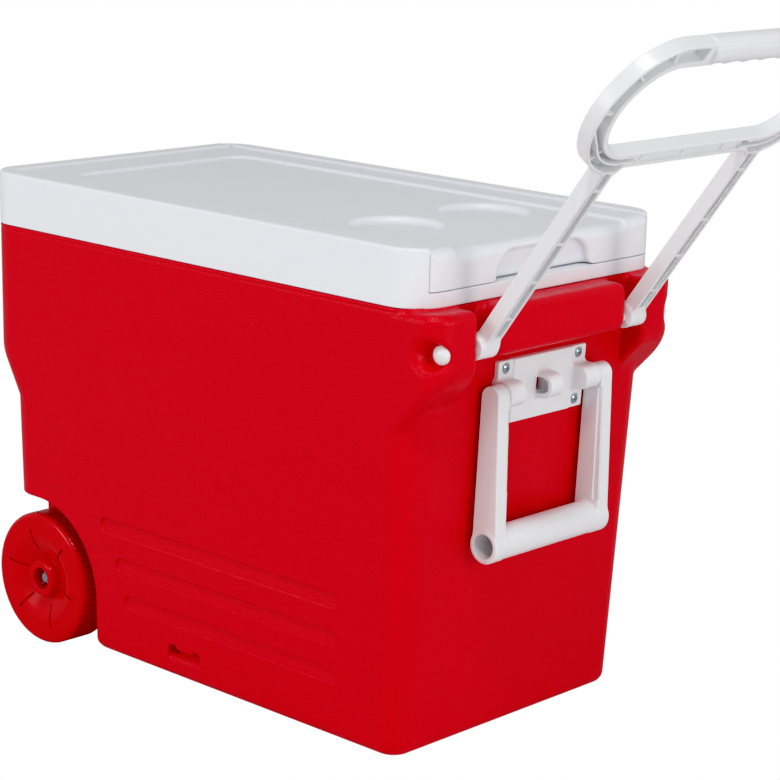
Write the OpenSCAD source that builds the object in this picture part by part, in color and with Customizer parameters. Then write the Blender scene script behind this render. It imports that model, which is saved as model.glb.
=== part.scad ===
// Wheeled hard cooler with a swing-up tow handle and a hanging bail handle.
// +X is the handle end, +Z is up, the long sides face -Y and +Y. Millimetres.
// The origin is on the ground, under the middle of the whole, with the tow handle as it stands.
// Inside the modules x is counted from the middle of the body, and placed() moves it at the end.

/* [Body] */
// Length over the collar, wheel end to handle end
body_l = 536; // [516:1:556]
// Width over the collar
body_w = 306; // [298:1:314]
// Height to the rim of the lid
body_h = 440; // [430:1:455]
// Height of the red shell, where the white collar starts
shell_top = 392; // [386:1:396]
// Height of the lower edge of the shell above the ground
base_z = 14; // [12:1:16]
// Plan radius of the corners at the collar
corner_r = 32; // [28:1:36]
// How far the handle end leans in from the collar to the base
end_taper = 22.4; // [18:0.1:26]
// How far each long side leans in from the collar to the base
side_taper = 11.6; // [9:0.1:13]
// How far the ears and the brow stand out past the collar
ear_reach = 22; // [20:1:24]
// Wall thickness of the moulded plastic
wall = 3; // [2.5:0.1:3.5]

/* [Lid] */
// Width of the collar rail beside the lid
rail_w = 17; // [15:1:19]
// Depth of the sunk panel in the top of the lid
panel_d = 3; // [2:0.5:4]
// Radius of each cup rest
cup_r = 40; // [36:1:42]
// Depth of each cup rest below the panel
cup_d = 6; // [4.5:0.5:7]

/* [Tow handle] */
// Height of the tow handle's pivot
pivot_z = 360; // [356:1:364]
// Lean of the tow handle above the horizontal, as it stands
lean = 54.2; // [40:0.1:80]
// Distance from the pivot to the middle of the loop
loop_s = 249.5; // [230:0.5:265]
// Outer radius of the loop's round ends
loop_r = 61.5; // [58:0.5:64]

/* [Bail handle] */
// Distance from the bail's pivot down to its grip
bail_drop = 124; // [112:1:130]
// Outer width of the bail handle
bail_w = 145; // [141:1:149]

/* [Wheels] */
// Wheel radius, which is also the height of the axle
wheel_r = 62; // [60:0.5:66]
// Width of each wheel
wheel_w = 36; // [32:1:36]
// Axle radius
axle_r = 4; // [3:0.5:5]

/* [Hidden] */

red = [0.80, 0.01, 0.10];
white = [0.90, 0.90, 0.92];
foam_colour = [0.93, 0.88, 0.72];
steel = [0.72, 0.73, 0.75];

eps = 0.02;
fit = 0.05;         // radial clearance of a running fit
gap = 0.3;          // clearance between pieces that only lie close
smooth = 32;        // facets of a rounded corner inside a hull

half_l = body_l / 2;
half_w = body_w / 2;
shell_h = shell_top - base_z;
// Inset of the handle-end face and of the long sides at a height
function end_in(z) = end_taper * (shell_top - z) / shell_h;
function side_in(z) = side_taper * (shell_top - z) / shell_h;
end_angle = atan(end_taper / shell_h);
side_angle = atan(side_taper / shell_h);

// Wheel end: the upper part overhangs the wheels' part
wheel_end_in = 17.5;                     // inset of the lower part at the collar
wheel_end_lean = 12.5;                   // further inset of the lower part at the base
function wheel_end(z) = -half_l + wheel_end_in + wheel_end_lean * (shell_top - z) / shell_h;
overhang_z0 = 235;                       // where the overhang starts
overhang_z1 = 273;                       // where it is full

base_corner_r = 19;
base_round = 9;

// Wheels and axle
axle_x = -206;
axle_z = wheel_r;
well_r = 78.5;                           // radius of the wheel arch about the axle
well_y = 106;                            // inner wall of each wheel well
wheel_y0 = well_y + 1.5;                 // inner face of the hub
wheel_y1 = wheel_y0 + wheel_w;           // outer face of the wheel
nut_y = wheel_y1 - 12;

// Tow handle
tow_x = half_l + 15;
ear_y = 105;                             // inner face of each ear
ear_round = 30;
brow_y = 81.5;                           // half width of the brow
brow_z0 = 350;
brow_z1 = shell_top - 1;
brow_r = 10;
arm_y0 = 84.5;
arm_y1 = 100.5;
arm_half = 6.5;                          // half the depth of the handle's bars
pin_r = 4.5;
pin_head_r = 8.7;
pin_seat_y = 136;                        // seat of the pin's head in the ear
pin_tip_y = brow_y - 12;
channel_wall = 3;
loop_y = 86;                             // where the loop's round ends are centred
loop_in_r = 42;
grip_r = 10;
grip_half = 61;
lower_bar_cut = 5.5;                     // the lower bar is this much slimmer
scallop_pitch = 22.5;

// Bail handle and its bracket
bail_x = half_l + 7.5;
bail_z = 313.5;
bail_set_back = 1.5;                     // the grip hangs this much nearer the wall
bail_arm_r = 9.5;
bail_grip_r = 14;
bail_bore_r = 10.2;
bail_arm_w = 14.5;
bail_stub_r = 4.5;
boss_r = 10.5;
boss_y0 = 38;
boss_y1 = bail_w / 2 - bail_arm_w - 0.5;
eye_half = 8;                            // half width of the hooded eye
eye_in_r = 6.6;
plate_half = 57;
plate_mid_half = 33.5;
plate_z0 = 285;
plate_z1 = 339.5;
plate_t = 4.4;
plate_mid_t = 1.3;                       // the middle of the plate is this much thicker
screw_y = 46;
screw_z = [293, 333];
screw_r = 2;
screw_head_r = 3.9;
face_x = half_l - end_in(bail_z);        // handle-end face at the bail's pivot

// Lid and collar
seam_z = 404.5;                          // top of the collar under the lid
rear_seam_z = 402;                       // the same behind the hinge
lid_z0 = seam_z + 0.5;
rail_y = half_w - rail_w;                // inner face of each rail
lid_half = rail_y - 0.7;
hinge_x = -half_l + 19;
hinge_z = lid_z0 + 19;
hinge_round = 18.8;
hinge_pin_r = 4;
hinge_pin_y0 = lid_half - 11;
hinge_pin_y1 = rail_y + 9;
lid_pocket_x = hinge_x + 17;
panel_x0 = -207;                         // wheel-end edge of the sunk panel
panel_half = 109;
panel_bevel = 6;
cup_x = 151;
cup_y = 55;
finger_z = 431;
finger_half0 = 63;
finger_half1 = 50;
finger_d = 10;

// Liner
tub_x = 236;                             // half length inside, at the top
tub_y = 122;                             // half width inside, at the top
tub_r = 28;
tub_floor = 45;
tub_floor_x0 = -212;
tub_floor_x1 = 214;
tub_floor_y = 86;
step_x = -166;                           // the floor steps up over the axle here
step_z = 88;
plug_z = 388;                            // underside of the lid's plug
plug_x0 = -229;
plug_x1 = 230;
plug_y = 117;

// The farthest the tow handle reaches, and the middle between that and the wheel end
tow_tip = tow_x + (loop_s + (loop_r + loop_in_r) / 2 + 1) * cos(lean) + grip_r + 0.5;
middle_x = (tow_tip - half_l) / 2;

// ---- helpers ----

// Moves a piece from the body's middle to the middle of the whole
module placed() translate([-middle_x, 0, 0]) children();

// Four corner posts of a rectangle [x0, x1, half width], for a hull
module posts(box, r, z, h = eps)
    for (x = [box[0] + r, box[1] - r], y = [-box[2] + r, box[2] - r])
        translate([x, y, z]) cylinder(r = r, h = h, $fn = smooth);

// Rectangle with round corners, as an exact outline
module round_rect(x0, x1, hw, r) {
    translate([x0 + r, -hw]) square([x1 - x0 - 2 * r, 2 * hw]);
    translate([x0, -hw + r]) square([x1 - x0, 2 * (hw - r)]);
    for (x = [x0 + r, x1 - r], y = [-hw + r, hw - r])
        translate([x, y]) circle(r = r, $fn = 64);
}

// A cylinder along +Y from y0 to y1, through (x, z)
module y_rod(x, z, y0, y1, r, r2 = -1, fn = 48)
    translate([x, y0, z]) rotate([-90, 0, 0])
        cylinder(r1 = r, r2 = r2 < 0 ? r : r2, h = y1 - y0, $fn = fn);

// The same thing on both sides of the middle plane
module both_sides() {
    children();
    mirror([0, 1, 0]) children();
}

// ---- red shell ----

module body_solid(inset) {
    z0 = base_z + inset;
    z1 = z0 + base_round;
    top = shell_top + (inset > 0 ? eps : 0);
    hull() {
        posts([wheel_end(z0) + inset + base_round * 0.7, half_l - end_in(z0) - inset - base_round * 0.7,
               half_w - side_in(z0) - inset - base_round * 0.7], base_corner_r - base_round * 0.7, z0);
        posts([wheel_end(z1) + inset, half_l - end_in(z1) - inset, half_w - side_in(z1) - inset],
              base_corner_r, z1);
        posts([wheel_end(top) + inset, half_l - inset, half_w - inset], corner_r - inset, top - eps);
    }
}

module overhang_solid(inset) {
    x1 = -150;
    top = shell_top + (inset > 0 ? eps : 0);
    hull() {
        posts([wheel_end(overhang_z0) + inset, x1, half_w - side_in(overhang_z0) - inset],
              corner_r - inset, overhang_z0 + inset);
        posts([-half_l + inset, x1, half_w - side_in(overhang_z1) - inset],
              corner_r - inset, overhang_z1 + inset * 0.4);
        posts([-half_l + inset, x1, half_w - inset], corner_r - inset, top - eps);
    }
}

// Ears: the two front corners carried outwards, with slanted undersides
module ears_solid() {
    x0 = 180;
    tip = half_l + ear_reach;
    low_z = 296;
    tip_z = 338;
    top = shell_top - 1;
    difference() {
        hull() {
            posts([x0, half_l - end_in(low_z) - 12, half_w - side_in(low_z)], 20, low_z);
            posts([x0, tip, half_w - side_in(tip_z)], ear_round, tip_z);
            posts([x0, tip, half_w - side_in(top)], ear_round, top - 7);
            posts([x0, tip - 5, half_w - side_in(top) - 2], ear_round - 4, top - eps);
        }
        translate([x0 - 1, -ear_y, low_z - 1]) cube([tip - x0 + 5, 2 * ear_y, top - low_z + 5]);
    }
}

// Brow: the overhanging block between the tow handle's arms
module brow_solid() {
    x_front = half_l + ear_reach - brow_r;
    hull() {
        for (y = [-brow_y + brow_r, brow_y - brow_r], z = [brow_z0 + brow_r, brow_z1 - brow_r])
            translate([x_front, y, z]) sphere(r = brow_r, $fn = smooth);
        translate([half_l - 20, -brow_y, brow_z0]) cube([1, 2 * brow_y, brow_z1 - brow_z0]);
    }
}

// Wheel wells, grown by a wall where they stand inside the shell
module wells(grow) {
    reach = 90;
    both_sides() {
        translate([0, well_y - grow, 0]) {
            y_rod(axle_x, axle_z, 0, reach, well_r + grow, fn = 96);
            translate([-half_l - 30, 0, -5])
                cube([half_l + 30 + axle_x + well_r + grow, reach, axle_z + 5]);
            translate([-half_l - 30, 0, -5])
                cube([half_l + 30 + axle_x, reach, axle_z + well_r + grow + 5]);
        }
    }
}

// Solid places inside the shell: axle tube, screw bosses and the pads behind the tie-down slots
module pads(grow) {
    y_rod(axle_x, axle_z, -well_y - wall, well_y + wall, axle_r + 4 + grow);
    for (y = [-screw_y, screw_y], z = screw_z)
        on_end_face(z) translate([-16 - grow, y, 0]) rotate([0, 90, 0])
            cylinder(r = 6 + grow, h = 20, $fn = 32);
    both_sides()
        translate([-37 - grow, half_w - side_taper - 16 - grow, 24 - grow])
            cube([56 + 2 * grow, 30, 30 + 2 * grow]);
}

module inner_space(extra) {
    difference() {
        union() {
            body_solid(wall + extra);
            overhang_solid(wall + extra);
        }
        wells(wall + extra);
        pads(extra);
    }
}

// Local frame on the handle-end face at a height: x is out of the face, z is up along it
module on_end_face(z)
    translate([half_l - end_in(z), 0, z]) rotate([0, end_angle, 0]) children();

// Local frame on the +Y side face at a height: y is out of the face
module on_side_face(x, z)
    translate([x, half_w - side_in(z), z]) rotate([-side_angle, 0, 0]) children();

rib_x1 = 180;
rib_x0 = [-117, -97, -86];
rib_z = [135.5, 102, 69];
rib_h = 13;
rib_depth = 1.5;

module side_rib(i) {
    length = rib_x1 - rib_x0[i] - rib_h;
    on_side_face(rib_x0[i] + rib_h / 2, rib_z[i]) translate([0, -rib_depth, 0]) {
        translate([0, 0, -rib_h / 2]) cube([length, 5, rib_h]);
        for (x = [0, length]) y_rod(x, 0, 0, 5, rib_h / 2, fn = 32);
    }
}

slot_x = -9;
slot_z = 38.5;
slot_l = 37;
slot_h = 11;
slot_d = 6;

// Tie-down slot with a hole at each end
module side_slot() {
    on_side_face(slot_x, slot_z) {
        translate([-slot_l / 2, -slot_d, 0]) cube([slot_l, slot_d + 5, slot_h / 2]);
        for (x = [-slot_l / 2, slot_l / 2 - slot_h * 0.8])
            translate([x, -slot_d - 5, -slot_h / 2]) cube([slot_h * 0.8, slot_d + 10, slot_h]);
    }
}

module feet()
    for (y = [-80, 80])
        translate([180, y, 0]) cylinder(r1 = 20, r2 = 23, h = base_z + wall, $fn = 48);

module outer_shell() color(red) placed() difference() {
    union() {
        difference() {
            union() {
                body_solid(0);
                overhang_solid(0);
                ears_solid();
                brow_solid();
            }
            inner_space(0);
        }
        feet();
    }
    wells(0);
    y_rod(axle_x, axle_z, -well_y - 5, well_y + 5, axle_r + fit);
    both_sides() {
        y_rod(tow_x, pivot_z, brow_y - 13, half_w, pin_r + fit);
        y_rod(tow_x, pivot_z, pin_seat_y, pin_seat_y + 16, pin_head_r + 0.6, pin_head_r + 9);
        for (i = [0 : 2]) side_rib(i);
        side_slot();
    }
    for (y = [-screw_y, screw_y], z = screw_z)
        on_end_face(z) translate([-14, y, 0]) rotate([0, 90, 0])
            cylinder(r = screw_r + fit, h = 20, $fn = 32);
}

// ---- liner with its collar, and the foam ----

module tub(inset, z_top) {
    hull() {
        posts([-tub_x - inset, tub_x + inset, tub_y + inset], tub_r + inset, z_top - eps);
        posts([tub_floor_x0 - inset, tub_floor_x1 + inset, tub_floor_y + inset],
              tub_r, tub_floor - inset);
    }
}

// The block that lifts the tub's floor over the axle
module tub_step(inset)
    translate([-half_l, -half_w, 0]) cube([half_l + step_x - inset, body_w, step_z + wall - inset]);

module tub_solid(inset, z_top) difference() {
    tub(inset, z_top);
    tub_step(inset);
}

// Rail region: the outline outside the lid
module rails_outline(inset) difference() {
    round_rect(-half_l + inset, half_l - inset, half_w - inset, corner_r - inset);
    translate([-half_l - 1, -rail_y - inset]) square([body_l + 2, 2 * (rail_y + inset)]);
}

module collar_solid() {
    translate([0, 0, shell_top]) linear_extrude(rear_seam_z - shell_top)
        round_rect(-half_l, half_l, half_w, corner_r);
    translate([0, 0, shell_top]) linear_extrude(seam_z - shell_top) intersection() {
        round_rect(-half_l, half_l, half_w, corner_r);
        translate([lid_pocket_x, -half_w]) square([body_l, body_w]);
    }
    translate([0, 0, shell_top]) linear_extrude(body_h - shell_top) rails_outline(0);
}

// Hollow under the collar and inside the rails, which the foam fills
module collar_hollow(extra) {
    difference() {
        union() {
            translate([0, 0, shell_top - eps]) linear_extrude(rear_seam_z - wall - extra - shell_top)
                round_rect(-half_l + wall + extra, half_l - wall - extra,
                           half_w - wall - extra, corner_r - wall - extra);
            intersection() {
                translate([0, 0, shell_top - eps]) linear_extrude(body_h - wall - extra - shell_top)
                    rails_outline(wall + extra);
                translate([-half_l + 25, -half_w, 0]) cube([body_l - 50, body_w, body_h]);
            }
        }
        both_sides() y_rod(hinge_x, hinge_z, rail_y, rail_y + 12 + extra, hinge_pin_r + 4 + extra);
    }
}

module liner() color(white) placed() difference() {
    union() {
        difference() {
            collar_solid();
            collar_hollow(0);
        }
        tub_solid(wall, seam_z - 1);
    }
    tub_solid(0, seam_z + eps);
    translate([0, 0, seam_z - 2]) linear_extrude(5)
        round_rect(-tub_x, tub_x, tub_y, tub_r);
    both_sides() y_rod(hinge_x, hinge_z, rail_y - 1, hinge_pin_y1, hinge_pin_r + fit);
}

module body_foam() color(foam_colour) placed() difference() {
    union() {
        inner_space(gap);
        collar_hollow(3 * gap);
    }
    tub_solid(wall + gap, seam_z);
}

// ---- lid ----

module lid_outline(inset) intersection() {
    round_rect(-half_l + inset, half_l - inset, half_w - inset, corner_r - inset);
    translate([-half_l, -lid_half + inset]) square([body_l, 2 * (lid_half - inset)]);
}

module lid_solid() difference() {
    translate([0, 0, lid_z0]) linear_extrude(body_h - lid_z0) lid_outline(0);
    // the lower wheel-end edge is round about the hinge
    difference() {
        translate([-half_l - 1, -half_w, lid_z0 - 1])
            cube([hinge_x + half_l + 1, body_w, hinge_z - lid_z0 + 1]);
        y_rod(hinge_x, hinge_z, -half_w, half_w, hinge_round, fn = 64);
    }
}

// The sunk panel runs out over the handle end
module panel_cut() {
    steps = 4;
    for (i = [0 : steps - 1])
        translate([0, 0, body_h - panel_d * (i + 1) / steps]) linear_extrude(panel_d + 1)
            round_rect(panel_x0 + panel_bevel * i / (steps - 1), half_l + 40,
                       panel_half - panel_bevel * i / (steps - 1), 20);
}

module cup_cuts()
    for (y = [-cup_y, cup_y])
        translate([cup_x, y, body_h - panel_d - cup_d])
            cylinder(r1 = cup_r - 4, r2 = cup_r + 2 / cup_d, h = cup_d + 0.5, $fn = 96);

// Finger recess under the handle end of the lid
module finger_cut(grow) {
    depth = finger_d + grow;
    translate([half_l - depth, 0, 0]) rotate([90, 0, 90]) linear_extrude(depth + 5)
        polygon([[-finger_half0 - grow, lid_z0 - 5], [finger_half0 + grow, lid_z0 - 5],
                 [finger_half0 - 1 + grow, lid_z0 + 9], [finger_half1 + 6 + grow, finger_z - 6],
                 [finger_half1 + grow, finger_z + grow], [-finger_half1 - grow, finger_z + grow],
                 [-finger_half1 - 6 - grow, finger_z - 6], [-finger_half0 + 1 - grow, lid_z0 + 9]]);
}

// Inside of the lid's top shell
module lid_hollow(extra) difference() {
    translate([0, 0, lid_z0 - 1]) linear_extrude(body_h - panel_d - wall - extra - lid_z0 + 1)
        intersection() {
            lid_outline(wall + extra);
            translate([lid_pocket_x + extra, -half_w]) square([body_l, body_w]);
        }
    for (y = [-cup_y, cup_y])
        translate([cup_x, y, body_h - panel_d - cup_d - wall - extra])
            cylinder(r = cup_r + 3 + extra, h = 30, $fn = 96);
    finger_cut(wall + extra);
}

module lid_top() color(white) placed() difference() {
    lid_solid();
    lid_hollow(0);
    panel_cut();
    cup_cuts();
    finger_cut(0);
    both_sides() y_rod(hinge_x, hinge_z, hinge_pin_y0, half_w, hinge_pin_r + fit);
}

module plug_outline(inset) round_rect(plug_x0 + inset, plug_x1 - inset, plug_y - inset, 22);

module lid_liner() color(white) placed() difference() {
    union() {
        intersection() {
            lid_hollow(0.2);
            translate([-half_l, -half_w, lid_z0]) cube([body_l, body_w, wall]);
        }
        translate([0, 0, plug_z]) linear_extrude(lid_z0 + 1 - plug_z) plug_outline(0);
    }
    translate([0, 0, plug_z + wall]) linear_extrude(40) plug_outline(wall);
}

module lid_foam() color(foam_colour) placed() {
    intersection() {
        lid_hollow(gap);
        translate([-half_l, -half_w, lid_z0 + wall + gap]) cube([body_l, body_w, 60]);
    }
    translate([0, 0, plug_z + wall + gap]) linear_extrude(lid_z0 - plug_z + 1) plug_outline(wall + gap);
}

module lid_pin(side) color(white) placed() mirror([0, side < 0 ? 1 : 0, 0])
    y_rod(hinge_x, hinge_z, hinge_pin_y0 + gap, hinge_pin_y1 - gap, hinge_pin_r);

// ---- tow handle ----

// Ring with round ends, the loop's plan: x is along the bar, y is away from the pivot
module loop_outline(r) {
    translate([-loop_y, loop_s - r]) square([2 * loop_y, 2 * r]);
    for (x = [-loop_y, loop_y]) translate([x, loop_s]) circle(r = r, $fn = 128);
}

// Stands a plan drawing up in the handle's own frame: y is across, z is away from the pivot,
// x is the depth from x0 to x1
module in_handle_plane(x0, x1)
    translate([x0, 0, 0]) rotate([90, 0, 90]) linear_extrude(x1 - x0) children();

arm_top = loop_s - loop_r + lower_bar_cut + 2;
arm_ribs = [34, 74, 115, 170];
bar_ribs = [-57, -6, 45];
loop_rib_angles = [90, 130, 165];
rib_t = 2.4;

module handle_channels() {
    // arms
    both_sides() difference() {
        translate([-arm_half + channel_wall, arm_y0 + channel_wall, 14])
            cube([20, arm_y1 - arm_y0 - 2 * channel_wall, arm_top - 24]);
        for (s = arm_ribs) translate([-arm_half, arm_y0, s]) cube([2 * arm_half, 20, rib_t]);
    }
    // loop, up to the grip
    difference() {
        in_handle_plane(-arm_half + channel_wall, 20) difference() {
            loop_outline(loop_r - channel_wall);
            loop_outline(loop_in_r + channel_wall);
            translate([-loop_y + 2, loop_s - loop_r]) square([2 * loop_y - 4, lower_bar_cut + channel_wall]);
            translate([-grip_half - 4, loop_s]) square([2 * grip_half + 8, 80]);
        }
        for (y = bar_ribs) translate([-arm_half, y, loop_s - 80]) cube([2 * arm_half, rib_t, 60]);
        both_sides() for (a = loop_rib_angles)
            translate([-arm_half, loop_y, loop_s]) rotate([a, 0, 0])
                translate([0, -rib_t / 2, 1 - loop_r]) cube([2 * arm_half, rib_t, loop_r - loop_in_r - 2]);
    }
}

module handle_shape() difference() {
    union() {
        both_sides() {
            translate([-arm_half, arm_y0, 0]) cube([2 * arm_half, arm_y1 - arm_y0, arm_top]);
            y_rod(0, 0, arm_y0, ear_y - 0.5, 10);
        }
        in_handle_plane(-arm_half, arm_half) difference() {
            loop_outline(loop_r);
            loop_outline(loop_in_r);
            translate([-loop_y + 4, loop_s - loop_r - 1]) square([2 * loop_y - 8, lower_bar_cut + 1]);
        }
        y_rod(0, loop_s + (loop_r + loop_in_r) / 2 + 1, -grip_half, grip_half, grip_r + 0.5);
    }
    handle_channels();
    both_sides() y_rod(0, 0, arm_y0 - 1, ear_y + 1, pin_r + fit);
    // finger scallops under the grip
    for (i = [-2 : 2]) scallop(i * scallop_pitch - 4);
}

module scallop(y)
    translate([-20, y, loop_s + loop_in_r - 18]) rotate([0, 90, 0]) cylinder(r = 19.5, h = 40, $fn = 96);

module tow_handle() color(white) placed()
    translate([tow_x, 0, pivot_z]) rotate([0, 90 - lean, 0]) handle_shape();

module handle_pin(side) color(white) placed() mirror([0, side < 0 ? 1 : 0, 0]) {
    y_rod(tow_x, pivot_z, pin_tip_y, pin_seat_y + 1, pin_r - fit + 0.02);
    translate([tow_x, pin_seat_y, pivot_z]) rotate([-90, 0, 0]) rotate_extrude($fn = 64) pin_head();
}

// Half section of the domed head
module pin_head() {
    dome = 7;
    ball = (pin_head_r * pin_head_r + dome * dome) / (2 * dome);
    intersection() {
        translate([0, dome - ball]) circle(r = ball, $fn = 96);
        square([pin_head_r, dome]);
    }
}

// ---- bail handle and its bracket ----

// Everything behind the handle-end face, which the bracket lies against
module behind_face()
    on_end_face(bail_z) translate([-40, -plate_half - 1, -60]) cube([40, 2 * plate_half + 2, 120]);

module bail_bracket() color(white) placed() difference() {
    union() {
        on_end_face((plate_z0 + plate_z1) / 2) {
            height = plate_z1 - plate_z0;
            translate([0, -plate_half, -height / 2]) cube([plate_t, 2 * plate_half, height]);
            translate([0, -plate_mid_half, -height / 2])
                cube([plate_t + plate_mid_t, 2 * plate_mid_half, height]);
        }
        both_sides() {
            y_rod(bail_x, bail_z, boss_y0, boss_y1, boss_r);
            translate([face_x - 2, boss_y0, bail_z - boss_r])
                cube([bail_x - face_x + 2, boss_y1 - boss_y0, 2 * boss_r]);
        }
        y_rod(bail_x, bail_z, -eye_half, eye_half, boss_r);
        translate([face_x - 2, -eye_half, bail_z - boss_r])
            cube([bail_x - face_x + 2, 2 * eye_half, 2 * boss_r]);
    }
    behind_face();
    both_sides() y_rod(bail_x, bail_z, boss_y1 - 13, boss_y1 + 1, bail_stub_r + fit);
    y_rod(bail_x, bail_z, -eye_half - 1, eye_half - 2.5, eye_in_r);
    translate([face_x - 5, -eye_half + 1, bail_z - 4.5]) cube([bail_x - face_x + 5, eye_half, 12]);
    for (y = [-screw_y, screw_y], z = screw_z)
        on_end_face(z) translate([-2, y, 0]) rotate([0, 90, 0])
            cylinder(r = screw_r + 0.3, h = 20, $fn = 32);
}

// Side view of an arm, with the pivot at 0, 0
module bail_arm_outline() {
    circle(r = bail_arm_r, $fn = 64);
    translate([-bail_set_back, -bail_drop]) circle(r = bail_grip_r, $fn = 96);
    polygon([[-bail_arm_r, 0], [-bail_set_back - bail_grip_r, -bail_drop],
             [bail_grip_r - bail_set_back, -bail_drop], [bail_arm_r, 0]]);
}

module bail_handle() color(white) placed() difference() {
    union() {
        both_sides() {
            translate([bail_x, bail_w / 2, bail_z]) rotate([90, 0, 0])
                linear_extrude(bail_arm_w) bail_arm_outline();
            y_rod(bail_x, bail_z, boss_y1 - 12, bail_w / 2 - bail_arm_w + 1, bail_stub_r);
        }
        y_rod(bail_x - bail_set_back, bail_z - bail_drop, 1 - bail_w / 2, bail_w / 2 - 1, bail_grip_r, fn = 96);
    }
    y_rod(bail_x - bail_set_back, bail_z - bail_drop, -bail_w / 2 - 1, bail_w / 2 + 1, bail_bore_r, fn = 64);
}

// Cross-head screws, square to the handle-end face
module bracket_screws() color(steel) placed()
    for (y = [-screw_y, screw_y], z = screw_z)
        on_end_face(z) translate([-12, y, 0]) rotate([0, 90, 0]) {
            head = 12 + plate_t;
            cylinder(r = screw_r, h = head + 0.5, $fn = 32);
            difference() {
                translate([0, 0, head]) cylinder(r1 = screw_head_r, r2 = 2.6, h = 2.2, $fn = 32);
                for (a = [0, 90])
                    translate([0, 0, head + 2]) rotate([0, 0, a]) cube([3.6, 0.9, 2], center = true);
            }
        }

// ---- wheels ----

// Half section of the wheel: x is the radius, y is the distance from the inner hub face
module wheel_section() {
    w = wheel_w;
    bore = axle_r + fit;
    hub_r = 18;
    hole_r = 10;
    dish_r = 38.5;
    difference() {
        polygon([[bore, 0], [hub_r, 0], [hub_r, w - 20], [dish_r + 10, w - 12], [wheel_r - 9, w - 12],
                 [wheel_r - 9, 1], [wheel_r - 2, 1], [wheel_r, 3], [wheel_r, w - 4], [wheel_r - 4, w],
                 [dish_r, w], [hub_r + 3, w - 11], [hub_r, w - 11], [hub_r, w - 2.5], [hub_r - 1, w - 1.5],
                 [hole_r, w - 1.5], [hole_r, w - 12.5], [bore, w - 12.5]]);
    }
}

spoke_count = 6;

module wheel(side) color(red) placed() mirror([0, side < 0 ? 1 : 0, 0])
    translate([axle_x, wheel_y0, axle_z]) rotate([-90, 0, 0]) difference() {
        rotate_extrude($fn = 128) wheel_section();
        for (i = [0 : spoke_count - 1])
            rotate([0, 0, 12 + i * 360 / spoke_count]) translate([26, -0.9, wheel_w - 7])
                rotate([0, -14, 0]) cube([21, 1.8, 20]);
    }

module axle() color(steel) placed()
    y_rod(axle_x, axle_z, -wheel_y1 + 5, wheel_y1 - 5, axle_r);

module push_nut(side) color(steel) placed() mirror([0, side < 0 ? 1 : 0, 0])
    translate([axle_x, nut_y, axle_z]) rotate([-90, 0, 0]) rotate_extrude($fn = 48)
        polygon([[axle_r, 0], [8, 0], [8, 0.8], [6, 1.6], [5.4, 5.5], [axle_r, 5.5]]);

module washer(side) color(steel) placed() mirror([0, side < 0 ? 1 : 0, 0]) difference() {
    y_rod(axle_x, axle_z, well_y + 0.1, well_y + 1.1, 9);
    y_rod(axle_x, axle_z, well_y - 1, well_y + 3, axle_r + fit);
}

outer_shell();
body_foam();
liner();
lid_top();
lid_liner();
lid_foam();
lid_pin(1);  // lid_pin_left
lid_pin(-1);  // lid_pin_right
tow_handle();
handle_pin(1);  // handle_pin_left
handle_pin(-1);  // handle_pin_right
bail_bracket();
bail_handle();
bracket_screws();
axle();
wheel(1);  // wheel_left
wheel(-1);  // wheel_right
push_nut(1);  // push_nut_left
push_nut(-1);  // push_nut_right
washer(1);  // washer_left
washer(-1);  // washer_right
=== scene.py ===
import bpy
import math
import numpy as np
from mathutils import Matrix


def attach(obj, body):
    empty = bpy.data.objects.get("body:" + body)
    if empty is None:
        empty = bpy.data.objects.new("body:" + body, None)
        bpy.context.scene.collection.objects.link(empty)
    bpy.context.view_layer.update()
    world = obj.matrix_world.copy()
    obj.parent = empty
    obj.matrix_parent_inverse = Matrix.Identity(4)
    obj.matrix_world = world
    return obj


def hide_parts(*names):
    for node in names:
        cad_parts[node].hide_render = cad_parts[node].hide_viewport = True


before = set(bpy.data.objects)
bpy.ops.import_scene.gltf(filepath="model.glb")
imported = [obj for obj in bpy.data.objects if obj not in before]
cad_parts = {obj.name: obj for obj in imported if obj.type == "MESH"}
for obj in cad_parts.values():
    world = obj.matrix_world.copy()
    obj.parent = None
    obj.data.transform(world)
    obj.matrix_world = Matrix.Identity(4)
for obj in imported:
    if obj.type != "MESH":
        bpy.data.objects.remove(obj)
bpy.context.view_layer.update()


# Millimetres from the body's middle. MIDDLE is the frame's origin in them: halfway along the
# whole object, from the body's wheel end to the grip of the raised tow handle.
HALF_LENGTH = 268.0
HALF_WIDTH = 153.0
RIM = 440.0
LID_TOP = 438.0
LEAN = math.radians(54.2)
TOW = np.array([283.0, 360.0])
GRIP_AT, GRIP_R = 302.25, 10.5
MIDDLE = (TOW[0] + GRIP_AT * math.cos(LEAN) + GRIP_R - HALF_LENGTH) / 2

# ---------------------------------------------------------------- distance fields


def rmax(a, b, r):
    """Both, with the edge between them rounded to radius r."""
    return np.minimum(-r, np.maximum(a, b)) + np.hypot(np.maximum(r + a, 0), np.maximum(r + b, 0))


def rmin(a, b, r):
    """Either, with a fillet of radius r."""
    return -rmax(-a, -b, r)


def cut(a, b, r):
    return rmax(a, -b, r)


def rect(x, y, x0, x1, y0, y1, r=0.0):
    qx = np.abs(x - (x0 + x1) / 2) - ((x1 - x0) / 2 - r)
    qy = np.abs(y - (y0 + y1) / 2) - ((y1 - y0) / 2 - r)
    return np.hypot(np.maximum(qx, 0), np.maximum(qy, 0)) + np.minimum(np.maximum(qx, qy), 0) - r


def box(x, y, z, lo, hi, r=0.0):
    q = [np.abs(c - (a + b) / 2) - ((b - a) / 2 - r) for c, a, b in zip((x, y, z), lo, hi)]
    out = np.sqrt(np.maximum(q[0], 0) ** 2 + np.maximum(q[1], 0) ** 2 + np.maximum(q[2], 0) ** 2)
    return out + np.minimum(np.maximum(np.maximum(q[0], q[1]), q[2]), 0) - r


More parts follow.
